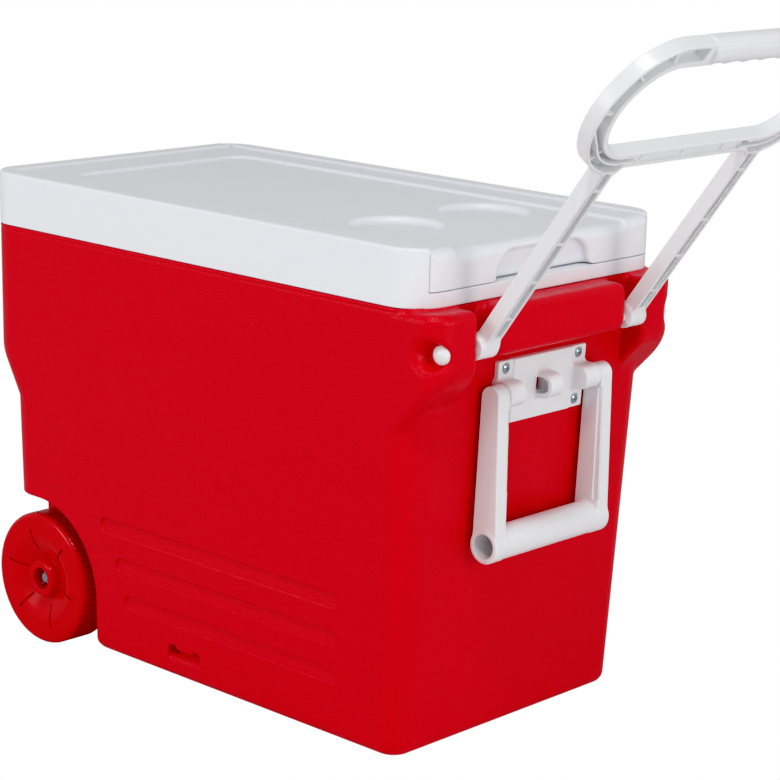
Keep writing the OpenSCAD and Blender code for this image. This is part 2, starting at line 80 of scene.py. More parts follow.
def softclip(a, b, k):
    """The larger of two heights, with a soft change over about k."""
    h = np.clip(0.5 + 0.5 * (a - b) / k, 0, 1)
    return b + (a - b) * h + k * h * (1 - h)


def softlow(a, b, k):
    return -softclip(-a, -b, k)


# ---------------------------------------------------------------- meshes from fields


def lines(*spans):
    """Grid lines from (start, end, step) spans, each starting where the last one ended."""
    out = [np.array([spans[0][0]])]
    for a, b, step in spans:
        n = max(1, int(round((b - a) / step)))
        out.append(np.linspace(a, b, n + 1)[1:])
    return np.concatenate(out).astype(float)


def even(a, b, step):
    return lines((a, b, step))


def both(spans):
    """Spans for one side of 0, mirrored to the other."""
    return [(-b, -a, s) for a, b, s in reversed(spans)] + list(spans)


def skin(name, field, xs, ys, zs, material, place=None, steps=5):
    """A closed quad mesh on the zero surface of a field, with its exact normals."""
    F = np.empty((len(xs), len(ys), len(zs)), np.float32)
    for i in range(0, len(xs), 24):
        F[i:i + 24] = field(xs[i:i + 24, None, None], ys[None, :, None], zs[None, None, :])
    F[F == 0] = 1e-6
    S = F < 0
    n = np.zeros(tuple(k - 1 for k in S.shape), np.int8)
    corners = [(i, j, k) for i in (0, 1) for j in (0, 1) for k in (0, 1)]
    for i, j, k in corners:
        n += S[i:i + n.shape[0], j:j + n.shape[1], k:k + n.shape[2]]
    active = (n > 0) & (n < 8)
    cell = np.full(n.shape, -1, np.int32)
    c = np.argwhere(active)
    cell[active] = np.arange(len(c))
    P, count = np.zeros((len(c), 3)), np.zeros(len(c))
    axes = (xs, ys, zs)
    for a in corners:
        for d in range(3):
            if a[d]:
                continue
            b = tuple(v + (1 if q == d else 0) for q, v in enumerate(a))
            ia, ib = c + a, c + b
            fa, fb = F[tuple(ia.T)], F[tuple(ib.T)]
            m = (fa < 0) != (fb < 0)
            t = fa[m] / (fa[m] - fb[m])
            for q in range(3):
                va, vb = axes[q][ia[m, q]], axes[q][ib[m, q]]
                P[m, q] += va + t * (vb - va)
            count[m] += 1
    P /= count[:, None]
    faces = []
    for d in range(3):
        u, v = [q for q in range(3) if q != d]
        lo = [slice(1, -1)] * 3
        hi = [slice(1, -1)] * 3
        lo[d], hi[d] = slice(0, -1), slice(1, None)
        A, B = S[tuple(lo)], S[tuple(hi)]
        e = np.argwhere(A != B)
        inside_low = A[tuple(e.T)]
        base = e + 1
        base[:, d] -= 1

        def pick(du, dv):
            idx = base.copy()
            idx[:, u] += du
            idx[:, v] += dv
            return cell[tuple(idx.T)]

        quad = np.stack([pick(-1, -1), pick(0, -1), pick(0, 0), pick(-1, 0)], 1)
        flip = inside_low if d == 1 else ~inside_low
        quad[flip] = quad[flip][:, ::-1]
        faces.append(quad)
    faces = np.concatenate(faces)
    faces = faces[(faces >= 0).all(1)]

    def slope(p, h=0.02):
        g = np.empty_like(p)
        for q in range(3):
            s = np.zeros(3)
            s[q] = h
            g[:, q] = (field(*(p + s).T) - field(*(p - s).T)) / (2 * h)
        return g

    limit = 1.5
    for _ in range(steps):
        g = slope(P)
        f = field(*P.T)
        move = (f / np.maximum((g * g).sum(1), 1e-3))[:, None] * g
        size = np.linalg.norm(move, axis=1, keepdims=True)
        P -= move * np.minimum(1, limit / np.maximum(size, 1e-9))
        limit *= 0.7
    N = slope(P, 0.15)
    N /= np.maximum(np.linalg.norm(N, axis=1, keepdims=True), 1e-9)
    if place is not None:
        P, N = place(P, N)
    P = (P - [MIDDLE, 0, 0]) / 1000
    me = bpy.data.meshes.new(name)
    me.vertices.add(len(P))
    me.vertices.foreach_set("co", P.astype(np.float32).ravel())
    me.loops.add(faces.size)
    me.loops.foreach_set("vertex_index", faces.astype(np.int32).ravel())
    me.polygons.add(len(faces))
    me.polygons.foreach_set("loop_start", np.arange(0, faces.size, 4, dtype=np.int32))
    me.update(calc_edges=True)
    me.polygons.foreach_set("use_smooth", np.ones(len(faces), bool))
    me.normals_split_custom_set_from_vertices(N.astype(np.float32))
    me.materials.append(material)
    o = bpy.data.objects.new(name, me)
    bpy.context.scene.collection.objects.link(o)
    return o


def twin(o, name):
    """The same piece, mirrored to the other side."""
    src = o.data
    n, f = len(src.vertices), len(src.loops)
    P = np.empty(n * 3, np.float32)
    src.vertices.foreach_get("co", P)
    N = np.empty(f * 3, np.float32)
    src.corner_normals.foreach_get("vector", N)
    L = np.empty(f, np.int32)
    src.loops.foreach_get("vertex_index", L)
    P = P.reshape(-1, 3) * [1, -1, 1]
    V = np.zeros((n, 3), np.float32)
    V[L] = N.reshape(-1, 3) * [1, -1, 1]
    L = L.reshape(-1, 4)[:, ::-1]
    me = bpy.data.meshes.new(name)
    me.vertices.add(n)
    me.vertices.foreach_set("co", P.astype(np.float32).ravel())
    me.loops.add(f)
    me.loops.foreach_set("vertex_index", np.ascontiguousarray(L).ravel())
    me.polygons.add(f // 4)
    me.polygons.foreach_set("loop_start", np.arange(0, f, 4, dtype=np.int32))
    me.update(calc_edges=True)
    me.polygons.foreach_set("use_smooth", np.ones(f // 4, bool))
    me.normals_split_custom_set_from_vertices(V)
    me.materials.append(src.materials[0])
    out = bpy.data.objects.new(name, me)
    bpy.context.scene.collection.objects.link(out)
    return out


def stand_for(o, body, slot, *nodes):
    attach(o, body)
    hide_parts(*nodes)
    return o


# ---------------------------------------------------------------- materials


def plastic(name, colour, rough, grain, grain_size, depth, spec=0.5, vary=0.0):
    """Moulded plastic with a fine pebbled grain."""
    m = bpy.data.materials.new(name)
    m.use_nodes = True
    t = m.node_tree
    b = t.nodes["Principled BSDF"]
    b.inputs["Base Color"].default_value = (*colour, 1)
    b.inputs["Roughness"].default_value = rough
    b.inputs["IOR"].default_value = 1.49
    b.inputs["Specular IOR Level"].default_value = spec
    where = t.nodes.new("ShaderNodeTexCoord")
    if grain:
        v = t.nodes.new("ShaderNodeTexVoronoi")
        v.inputs["Scale"].default_value = grain_size
        v.inputs["Randomness"].default_value = 1.0
        t.links.new(where.outputs["Object"], v.inputs["Vector"])
        w = t.nodes.new("ShaderNodeTexNoise")
        w.inputs["Scale"].default_value = grain_size * 0.6
        w.inputs["Detail"].default_value = 3
        t.links.new(where.outputs["Object"], w.inputs["Vector"])
        add = t.nodes.new("ShaderNodeMath")
        add.operation = "ADD"
        t.links.new(v.outputs["Distance"], add.inputs[0])
        t.links.new(w.outputs["Fac"], add.inputs[1])
        bump = t.nodes.new("ShaderNodeBump")
        bump.inputs["Strength"].default_value = grain
        bump.inputs["Distance"].default_value = depth
        t.links.new(add.outputs["Value"], bump.inputs["Height"])
        t.links.new(bump.outputs["Normal"], b.inputs["Normal"])
    if vary:
        w = t.nodes.new("ShaderNodeTexNoise")
        w.inputs["Scale"].default_value = 14.0
        w.inputs["Detail"].default_value = 4
        t.links.new(where.outputs["Object"], w.inputs["Vector"])
        r = t.nodes.new("ShaderNodeMapRange")
        r.inputs["To Min"].default_value = rough - vary
        r.inputs["To Max"].default_value = rough + vary
        t.links.new(w.outputs["Fac"], r.inputs["Value"])
        t.links.new(r.outputs["Result"], b.inputs["Roughness"])
    return m


RED = plastic("red_grained", (0.66, 0, 0.018), 0.29, 0.6, 800, 0.0004, spec=0.32, vary=0.03)
WHEEL_RED = plastic("red_wheel", (0.60, 0.0, 0.010), 0.24, 0.0, 0, 0, spec=0.34, vary=0.03)
WHITE = plastic("white_moulded", (0.825, 0.84, 0.88), 0.38, 0.10, 1400, 0.0001, vary=0.03)
WHITE_SMOOTH = plastic("white_smooth", (0.80, 0.805, 0.825), 0.30, 0.0, 0, 0, vary=0.03)
CREAM = plastic("foam_cream", (0.80, 0.72, 0.50), 0.9, 0.0, 0, 0)


def metal(name, colour, rough):
    m = bpy.data.materials.new(name)
    m.use_nodes = True
    b = m.node_tree.nodes["Principled BSDF"]
    b.inputs["Base Color"].default_value = (*colour, 1)
    b.inputs["Metallic"].default_value = 1.0
    b.inputs["Roughness"].default_value = rough
    return m


STEEL = metal("zinc_steel", (0.50, 0.62, 0.68), 0.22)

# ---------------------------------------------------------------- red shell

TOP, BASE = 392.0, 14.0


def down(z):
    return (TOP - z) / (TOP - BASE)


def front_x(z):
    return HALF_LENGTH - 22.4 * down(z)


def wheel_end_x(z):
    slant = -HALF_LENGTH + (273 - z) * 22 / 38
    lower = -250.5 + 12.5 * down(z)
    return softlow(softclip(-HALF_LENGTH, slant, 5), lower, 0.8)


def half_width(z):
    return HALF_WIDTH - 11.6 * down(z)


def well(x, y, z):
    d = rmax(x + 127.5, z - 140.5, 78.5)
    d = rmin(d, z - BASE, 12)
    return rmax(d, 106 - np.abs(y), 3)


RIBS = ((-117, 135.5), (-97, 102), (-86, 69))


def shell(x, y, z):
    ay = np.abs(y)
    side = (ay - half_width(z)) * 0.9995 + 0.4 * np.exp(-((z - 388) / 0.9) ** 2)
    corner = 32 - 13 * np.clip(down(z), 0, 1)
    d = rmax(side, (x - front_x(z)) * 0.998, corner)
    # brow between the arms
    brow = rect(y, z, -81.5, 81.5, 350, 391, 11)
    brow = rmax(brow, x - 290, 6)
    d = rmin(d, brow, 6)
    d = rmax(d, (wheel_end_x(z) - x) * 0.96, corner)
    d = rmax(d, BASE - z, 10)
    d = rmax(d, z - TOP, 1.2)
    # ears, proud of the rounded corners, with slanted undersides
    ear = rmax(side, x - 290, 24)
    ear = rmax(ear, (x - 290) * 0.724 - (z - 338) * 0.690, 6)
    ear = rmax(ear, z - 391, 8)
    ear = np.maximum(rmax(ear, 105.2 - ay, 5), 200 - x)
    grow = np.clip((x - 238) / 20, 0, 1)
    d = rmin(d, ear, 4 * grow * grow * (3 - 2 * grow) + 1e-3)
    # dishes round the tow handle's pins
    rho = np.hypot((x - 278.5) * 0.9, z - 358.2)
    dish = rmax((rho - 8.4 - (ay - 136.5) * 0.36) * 0.94, 136.5 - ay, 2)
    d = cut(d, dish, 5)
    d = cut(d, well(x, y, z), 2.0)
    # ribs and tie-down slots in the long sides
    for x0, zc in RIBS:
        deep = 0.3 + 2.3 * np.clip((z - zc + 6.5) / 13, 0, 1)
        r = rmax(rect(x, z, x0, 180, zc - 6.5, zc + 6.5, 5), -deep - side, 0.5)
        d = cut(d, r, 0.8)
    ends = rmin(rect(x, z, -28, -18.5, 31.5, 44.5, 3), rect(x, z, 2.5, 11, 31.5, 44, 3), 0.5)
    bar = rmin(rect(x, z, -28, 11, 31.5, 41, 3), ends, 1.5)
    deep = 1.2 + 8 * np.clip((z - 33) / 8, 0, 1)
    d = cut(d, rmax(bar, -deep - side, 1.0), 1.4)
    hole = np.minimum(rect(x, z, -27, -19.5, 36.5, 43.5, 2), rect(x, z, 4, 10, 38.5, 43, 2))
    d = cut(d, rmax(hole, -16 - side, 0.5), 0.8)
    # the space for the foam and the tub
    inside = rmax(side + 9, (x - front_x(z)) + 9, 20)
    inside = rmax(inside, wheel_end_x(z) + 9 - x, 20)
    inside = rmax(inside, 34 - z, 4)
    inside = rmax(inside, 8 - well(x, y, z), 4)
    d = cut(d, inside, 0.5)
    # feet under the handle end
    foot = rmax(np.hypot(x - 180, ay - 80) - 20 - 0.2 * z, -z, 1.5)
    foot = rmax(foot, z - 30, 1)
    return rmin(d, foot, 2)


# grid steps grow by k in the quick version
k = 1.0
sx = lines((-274, -234, 1.6 * k), (-234, -124, 2.4 * k), (-124, -76, 1.1 * k), (-76, -34, 5),
           (-34, 17, 1.1 * k), (17, 150, 6), (150, 172, 3), (172, 184, 1.1 * k), (184, 206, 3),
           (206, 232, 2.4 * k), (232, 296, 1.1 * k))
sy = lines(*both([(0, 76, 4), (76, 108, 1.1 * k), (108, 118, 2), (118, 160, 1.1 * k)]))
sz = lines((-3, 3, 1.2), (3, 10, 2.4), (10, 48, 1.1 * k), (48, 60, 2.4), (60, 78, 1.1 * k),
           (78, 93, 2.4), (93, 111, 1.1 * k), (111, 126, 2.4), (126, 146, 1.1 * k), (146, 226, 5),
           (226, 286, 2 * k), (286, 396, 1.1 * k))
stand_for(skin("shell", shell, sx, sy, sz, RED), "body", "red_plastic", "outer_shell")

# ---------------------------------------------------------------- collar, rails and tub


def liner(x, y, z):
    ay = np.abs(y)
    d = rect(x, y, -HALF_LENGTH, HALF_LENGTH, -HALF_WIDTH, HALF_WIDTH, 32)
    d = rmax(d, TOP + 0.4 - z, 0.6)
    d = rmax(d, z - RIM, 2.6)
    opening = rmax(ay - 135.7, 404.6 - z, 0.5)
    d = cut(d, opening, 0.4)
    rear = rmax(rmax(ay - 135.7, 402 - z, 0.5), x + 232, 0.5)
    d = cut(d, rear, 0.6)
    # tub
    t = np.clip((z - 45) / 360, 0, 1)
    x0, x1, hy = -212 - 24 * t, 214 + 22 * t, 86 + 36 * t
    qx = np.abs(x - (x0 + x1) / 2) - ((x1 - x0) / 2 - 26)
    qy = ay - (hy - 26)
    plan = np.hypot(np.maximum(qx, 0), np.maximum(qy, 0)) + np.minimum(np.maximum(qx, qy), 0) - 26
    room = rmax(plan, 45 - z, 16)
    step = rmax(x + 166, z - 91, 10)
    room = rmax(room, -step, 8)
    walls = rmax(plan - 5, 41 - z, 16)
    walls = rmax(walls, -rmax(x + 171, z - 86, 10), 8)
    walls = rmax(walls, z - 404, 0.5)
    d = rmin(d, walls, 1)
    return cut(d, room, 2.5)


lx = lines((-273, -262, 1), (-262, -204, 2.2), (-204, -174, 5), (-174, -156, 2), (-156, 200, 8),
           (200, 262, 2.2), (262, 273, 1))
ly = lines(*both([(0, 76, 7), (76, 130, 2.2), (130, 158, 0.9 * k)]))
lz = lines((36, 66, 2.2), (66, 80, 3.5), (80, 102, 2), (102, 386, 8), (386, 408, 0.9),
           (408, 434, 2), (434, 443, 0.7))
stand_for(skin("collar_and_tub", liner, lx, ly, lz, WHITE), "body", "white_plastic", "liner")

# ---------------------------------------------------------------- lid


def lid(x, y, z):
    ay = np.abs(y)
    d = rect(x, y, -HALF_LENGTH, HALF_LENGTH, -HALF_WIDTH, HALF_WIDTH, 32)
    d = rmax(d, ay - 135.3, 1.0)
    d = rmax(d, x - HALF_LENGTH, 3)
    d = rmax(d, 404.8 - z, 0.3)
    # the rim is raised at the wheel end
    lip = np.clip((-249 - x) / 3, 0, 1)
    nose = rmax(z - LID_TOP - 2 * lip * lip * (3 - 2 * lip), x - HALF_LENGTH, 10)
    d = rmax(d, -267.9 - x, 1)
    d = rmax(d, nose, 1.2)
    # the wheel-end lower edge turns about the hinge
    d = rmax(d, rmax(-267.9 - x, 405.1 - z, 18.8), 0.5)
    # sunk panel, open at the handle end
    panel = rect(x, y, -204, 420, -106, 106, 20)
    ramp = np.clip((panel + 2) / 4, 0, 1)
    surface = (z - (435.2 + 2.8 * ramp * ramp * (3 - 2 * ramp)) - 2 * lip * lip * (3 - 2 * lip)) * 0.8
    nose = rmax(surface, x - HALF_LENGTH, 10)
    d = rmax(d, nose, 0.3)
    # cup rests
    rho = np.hypot(x - 151.5, ay - 55)
    cup = rmax((rho - 40 - (z - 435.2) * 0.62) * 0.85, 429.5 - z, 3)
    d = cut(d, cup, 1.6)
    # finger recess
    grip = rmax(ay - 59 + (z - 404) * 0.3, z - 428, 13)
    grip = rmax(grip, 258.5 - x, 4)
    d = cut(d, grip, 5)
    return rmax(d, rmax(z - RIM, -HALF_LENGTH - x, 3), 0.2)


def lid_under(x, y, z):
    plate = rmax(rect(x, y, -241, 253, -131, 131, 20), np.abs(z - 406.4) - 1.2, 0.5)
    plug = rmax(rect(x, y, -229, 230, -117, 117, 22), 388 - z, 5)
    plug = rmax(plug, z - 407, 0.5)
    hollow = rmax(rect(x, y, -209, 210, -97, 97, 14), z - 391.5, 2)
    return cut(rmin(plate, plug, 1), hollow, 2)


vx = lines((-272, -226, 1.2 * k), (-226, -196, 1.6), (-196, 106, 7), (106, 196, 1.3 * k),
           (196, 252, 3), (252, 272, 0.9 * k))
vy = lines(*both([(0, 8, 3), (8, 112, 1.3 * k), (112, 132, 2.5), (132, 138, 0.7)]))
vz = lines((402, 409, 0.8), (409, 427, 1.8), (427, 443, 0.8))
stand_for(skin("lid", lid, vx, vy, vz, WHITE), "lid", "white_plastic", "lid_top")
ux = lines((-245, -200, 1.6), (-200, 204, 9), (204, 257, 1.6))
uy = lines(*both([(0, 90, 8), (90, 135, 1.6)]))
uz = lines((385, 411, 1.2))
stand_for(skin("lid_underside", lid_under, ux, uy, uz, WHITE_SMOOTH), "lid", "white_plastic", "lid_liner")


def lid_core(x, y, z):
    return rmax(rect(x, y, -256, 254, -126, 126, 20), np.abs(z - 418) - 9, 3)


core = skin("lid_core", lid_core, even(-262, 260, 9), even(-132, 132, 9), even(404, 432, 3), CREAM)
stand_for(core, "lid", "foam", "lid_foam")

# ---------------------------------------------------------------- tow handle


def ring(y, s, r):
    return np.hypot(np.maximum(np.abs(y) - 86, 0), s - 249.5) - r


def tow_plan(ay, y, s):
    loop = rmax(ring(y, s, 61.5), -ring(y, s, 42), 0.1)
    loop = cut(loop, rmax(s - 193.5, ay - 79, 3), 6)
    arm = rect(ay, s, 84.5, 100.5, 0, 200)
    return rmin(loop, arm, 3.5)


def tow(v, y, s):
    ay = np.abs(y)
    plan = tow_plan(ay, y, s)
    d = rmax(plan, np.abs(v) - 6.5, 1.0)
    inner = 42 - ring(y, s, 0)
    hollow = rmax(plan + 2.8, -3.5 - v, 0.8)
    hollow = rmax(hollow, inner + 4.8, 0.5)
    along_bar = np.clip((76 - ay) / 5, 0, 1) * np.clip((240 - s) / 10, 0, 1)
    hollow = rmax(hollow, -3.5 + 6.0 * along_bar - v, 0.8)
    slit = rmax(rmax(np.abs(s - 203.4) - 1.3, ay - 72, 0.5), 0.5 - v, 0.3)
    hollow = np.minimum(hollow, slit)
    ridge = rmax(np.abs(ay - 95.0) - 0.85, s - 190, 0.2)
    curl = rmax(np.abs(ring(y, s, 0) - 51.8) - 1.1, s - 236, 0.2)
    curl = rmax(curl, 66 - ay, 0.2)
    hollow = rmax(hollow, -np.maximum(curl, v - 6.2 + np.clip((s - 220) / 2, 0, 10)), 0.3)
    hollow = rmax(hollow, -np.maximum(ridge, v - 5.9), 0.3)
    hollow = rmax(hollow, 15 - s, 1)
    ribs = np.full_like(plan + 0 * v, 99.0)
    for at in (34, 74, 115, 170):
        ribs = np.minimum(ribs, np.maximum(np.abs(s - at) - 1.3, ay - 102))
    ribs = np.minimum(ribs, np.maximum(np.abs(s - 188.5) - 1.4, ay - 102))
    for at in (-57, -6, 45):
        ribs = np.minimum(ribs, np.maximum(np.abs(y - at) - 1.2, s - 212))
    for a in (0, 40, 76, -52):
        c, q = math.cos(math.radians(a)), math.sin(math.radians(a))
        across = (ay - 86) * -q + (s - 249.5) * c
        along = (ay - 86) * c + (s - 249.5) * q
        ribs = np.minimum(ribs, np.maximum(np.abs(across) - 1.2, -along))
    ribs = np.maximum(ribs, v - np.where(s > 192, 3.6, 5.2))
    grip_zone = np.maximum(ay - 68, 250 - s)
    hollow = rmax(hollow, -ribs, 0.5)
    hollow = rmax(hollow, -grip_zone, 1.5)
    d = cut(d, hollow, 0.7)
    boss = rmax(np.hypot(v, s) - 9.8, np.abs(ay - 94.6) - 10.2, 0.5)
    d = rmin(d, boss, 5)
    # round grip, scalloped for the fingers
    grip = np.hypot(v, s - 302) - 10.6
    grip = rmax(grip, ay - 61.5, 2.5)
    d = rmin(d, grip, 1.2)
    wave = np.cos((y + 4) * 2 * np.pi / 22.5)
    scallop = (s - 291.4) - 2.0 - 1.7 * wave
    scallop = rmax(scallop, ay - 54, 2)
    d = np.maximum(d, -rmax(scallop * 0.9, np.abs(s - 280) - 25, 1))
    return cut(d, np.hypot(v, s) - 4.55, 0.3)


def tow_place(P, N):
    c, q = math.cos(LEAN), math.sin(LEAN)

    def turn(A):
        v, y, s = A.T
        return np.stack([q * v + c * s, y, -c * v + q * s], 1)

    return turn(P) + [TOW[0], 0, TOW[1]], turn(N)


tv = even(-13, 13, 0.8)
ty = even(-150.4, 150.4, 0.95 * k)
ts = lines((-12, 12, 0.9), (12, 186, 1.1 * k), (186, 315, 0.9 * k))
loop = skin("tow_loop", tow, tv, ty, ts, WHITE_SMOOTH, tow_place)
stand_for(loop, "tow_handle", "white_plastic", "tow_handle")


def pin(x, y, z):
    rho = np.hypot(x - TOW[0], z - TOW[1])
    cap = np.hypot(x - 280, z - 358.8)
    head = rmax(np.sqrt(cap ** 2 + (y - 131.4) ** 2) - 10.4, 135 - y, 0.5)
    head = rmax(head, cap - 8.1, 1.2)
    shank = rmax(rho - 4.4, np.abs(y - 103) - 34, 0.4)
    return rmin(head, shank, 0.3)


ys = lines((66, 132.4, 2), (132.4, 143, 0.6))
left = skin("pin_left", pin, even(271, 295, 0.7), ys, even(348, 372, 0.7), WHITE_SMOOTH)
stand_for(left, "body", "white_plastic", "handle_pin_left")
stand_for(twin(left, "pin_right"), "body", "white_plastic", "handle_pin_right")

# ---------------------------------------------------------------- bail handle and bracket

BAIL = (275.5, 313.5)
TILT = math.atan(22.4 / 378)


def bail(x, y, z):
    ay = np.abs(y)
    gx, gz = BAIL[0] - 1.5, BAIL[1] - 124
    t = np.clip((BAIL[1] - z) / 124, 0, 1)
    axis_x = BAIL[0] - 1.5 * t
    side = np.where(z > BAIL[1], np.hypot(x - BAIL[0], z - BAIL[1]) - 9.5,
                    np.abs(x - axis_x) - 9.5 - 3.4 * t)
    side = np.minimum(np.maximum(side, gz - z), np.hypot(x - gx, z - gz) - 14)
    arm = rmax(side, np.abs(ay - 65.25) - 7.25, 1.3)
    # the front flange: a shallow groove near its inner edge
    groove = rmax(np.abs(ay - 60.3) - 0.7, (axis_x + 9.5 + 3.4 * t) - 0.9 - x, 0.3)
    groove = rmax(groove, np.abs(z - 255) - 49, 1)
    arm = cut(arm, groove, 0.5)
    notch = rmax(rmax(ay - 59.2, axis_x + 6.5 - x, 0.5), z - 303, 1)
    arm = cut(arm, rmax(notch, 206 - z, 1), 0.6)
    tube = rmax(np.hypot(x - gx, z - gz) - 14, ay - 72.5, 1.3)
    d = rmin(arm, tube, 2.0)
    stub = rmax(np.hypot(x - BAIL[0], z - BAIL[1]) - 4.45, np.abs(ay - 53) - 7.4, 0.3)
    d = np.minimum(d, stub)
    return cut(d, np.hypot(x - gx, z - gz) - 10.3, 0.8)


bx = even(257, 293, 0.8)
by = lines(*both([(0, 42, 4), (42, 76, 0.6 * k)]))
bz = lines((172, 207, 0.9), (207, 300, 2.0), (300, 326, 0.8))
stand_for(skin("bail", bail, bx, by, bz, WHITE_SMOOTH), "bail_handle", "white_plastic", "bail_handle")


def bracket(x, y, z):
    ay = np.abs(y)
    c, s = math.cos(TILT), math.sin(TILT)
    out = (x - 263.35) * c - (z - 313.5) * s
    up = (x - 263.35) * s + (z - 313.5) * c
    plate = rmax(rect(y, up, -55.5, 55.5, -27.6, 26.2, 1.5), out - 4.4, 0.8)
    mid = rmax(rect(y, up, -37.8, 37.8, -27.6, 26.2, 1.0), out - 5.6, 1.0)
    d = rmin(plate, mid, 0.6)
    tube = np.hypot(x - BAIL[0], z - BAIL[1]) - 10.5
    body = np.where(x < BAIL[0], np.abs(z - BAIL[1]) - 10.5, tube)
    boss = rmax(rmax(body, np.abs(ay - 47.75) - 9.75, 2.0), x - 290, 0.3)
    d = rmin(d, boss, 3.5)
    eye = rmax(body, ay - 8, 1.2)
    d = rmin(d, eye, 2.5)
    room = np.where(x < BAIL[0], np.abs(z - BAIL[1]) - 6.4, np.hypot(x - BAIL[0], z - BAIL[1]) - 6.4)
    room = rmax(rmax(room, np.abs(y + 4.5) - 6.2, 0.8), 5.8 - out, 0.5)
    d = cut(d, room, 0.8)
    d = cut(d, box(x, y, z, (255, -7.5, 309.0), (275, 0.8, 320.5), 0.8), 0.4)
    d = cut(d, rmax(np.hypot(x - BAIL[0], z - BAIL[1]) - 4.6, 45 - ay, 0.2), 0.3)
    for zc in (293, 333):
        d = cut(d, rmax(np.hypot(ay - 46, (z - zc)) - 4.6, 3.5 - out, 0.3), 0.4)
    return rmax(d, -out, 0.3)


kx = even(258, 289, 0.6)
ky = lines(*both([(0, 12, 0.7), (12, 30, 2), (30, 60, 0.7)]))
kz = even(282, 343, 0.8)
stand_for(skin("bracket", bracket, kx, ky, kz, WHITE_SMOOTH), "body", "white_plastic", "bail_bracket")


def screws(x, y, z):
    ay = np.abs(y)
    d = None
    for zc in (293, 333):
        fx = front_x(zc)
        c, s = math.cos(TILT), math.sin(TILT)
        out = (x - fx) * c - (z - zc) * s
        up = (x - fx) * s + (z - zc) * c
        rho = np.hypot(ay - 46, up)
        head = rmax(np.sqrt(rho ** 2 + (out + 0.6) ** 2) - 6.6, 3.6 - out, 0.3)
        head = rmax(head, rho - 4.0, 0.4)
        flat = np.maximum(np.abs(ay - 46) - 0.55, np.abs(up) - 2.3)
        tall = np.maximum(np.abs(up) - 0.55, np.abs(ay - 46) - 2.3)
        cross = np.minimum(flat, tall)
        head = cut(head, rmax(cross, 4.6 - out, 0.1), 0.15)
        shank = rmax(rho - 2, np.abs(out + 4) - 8, 0.3)
        one = np.minimum(head, shank)
        d = one if d is None else np.minimum(d, one)
    return d


qy = np.concatenate([even(-51, -41, 0.35), even(41, 51, 0.35)])
qz = np.concatenate([even(288, 298, 0.35), even(328, 338, 0.35)])
qx = lines((250, 265, 1.5), (265, 273, 0.35))
stand_for(skin("screws", screws, qx, qy, qz, STEEL), "body", "screw_steel", "bracket_screws")

# ---------------------------------------------------------------- wheels

WX, WZ, WR = -206.0, 62.0, 62.0


def wheel(x, y, z):
    w = y - 107.5
    dx, dz = x - WX, z - WZ
    rho = np.hypot(dx, dz)
    ang = np.arctan2(dz, dx)
    d = rmax(rho - WR, w - 36, 5.5)
    d = rmax(d, -w, 2)
    # dished face with a raised hub
    floor = rmax(rho - 39.5, 36 - w - (39 - np.minimum(rho, 39)) * 0.44, 1.5)
    hub = rmax(rho - 18, w - 32.6, 2.5)
    d = cut(d, rmax(floor, -(rho - 17.0), 1.0), 2.2)
    d = rmin(d, rmax(hub, 5 - w, 1), 3)
    # six notches across the edge of the dish
    turn = np.mod(ang - math.radians(18), math.radians(60)) - math.radians(30)
    across = rho * np.sin(turn)
    along = rho * np.cos(turn)
    notch = rmax(np.abs(across) - 0.6 - (along - 26) * 0.03, np.abs(along - 36.5) - 10.5, 0.4)
    notch = rmax(notch, 36 - 2.4 - w - np.maximum(39 - rho, 0) * 0.44, 0.5)
    d = cut(d, notch, 0.5)
    # cross slots in the tread
    lug = np.mod(ang, math.radians(5)) - math.radians(2.5)
    slot = rmax(np.abs(rho * np.sin(lug)) - 0.7, WR - 0.8 - rho, 0.3)
    slot = rmax(slot, np.abs(w - 20) - 15.0, 0.3)
    d = cut(d, slot, 0.3)
    d = cut(d, rmax(rho - 10, 22 - w, 0.6), 0.8)
    # hollow behind
    back = rmax(np.abs(rho - 37) - 19, w - 12, 2)
    d = cut(d, back, 1)
    return cut(d, rho - 4.1, 0.2)


left = skin("wheel_solid_left", wheel, even(WX - 64.1, WX + 64.1, 0.8 * k), even(104, 147, 0.8 * k),
            even(WZ - 64.1, WZ + 64.1, 0.8 * k), WHEEL_RED)
stand_for(left, "wheel_left", "wheel_plastic", "wheel_left")
stand_for(twin(left, "wheel_solid_right"), "wheel_right", "wheel_plastic", "wheel_right")

# ---------------------------------------------------------------- plain CAD pieces that stay

for n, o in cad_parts.items():
    if o.hide_render:
        continue
    o.data.materials.clear()
    m = CREAM if "foam" in n else WHITE if "lid_pin" in n else STEEL
    o.data.materials.append(m)

# ---------------------------------------------------------------- camera, lights, floor

yaw, pitch, roll = 0.75094, 0.23693, 0.02613
right = np.array([math.cos(yaw), math.sin(yaw), 0])
back = np.array([math.sin(yaw) * math.cos(pitch), -math.cos(yaw) * math.cos(pitch), math.sin(pitch)])
up = np.cross(back, right)
r2 = math.cos(roll) * right + math.sin(roll) * up
u2 = -math.sin(roll) * right + math.cos(roll) * up
cam = bpy.data.cameras.new("camera")
cam.sensor_width = 36
cam.lens = 111.63
cam.clip_start, cam.clip_end = 0.05, 60
camera = bpy.data.objects.new("camera", cam)
bpy.context.scene.collection.objects.link(camera)
M = Matrix.Identity(4)
for i in range(3):
    M[i][0], M[i][1], M[i][2] = r2[i], u2[i], back[i]
M.translation = ((1492.33 - MIDDLE) / 1000, -1.493, 0.7694)
camera.matrix_world = M
bpy.context.scene.camera = camera


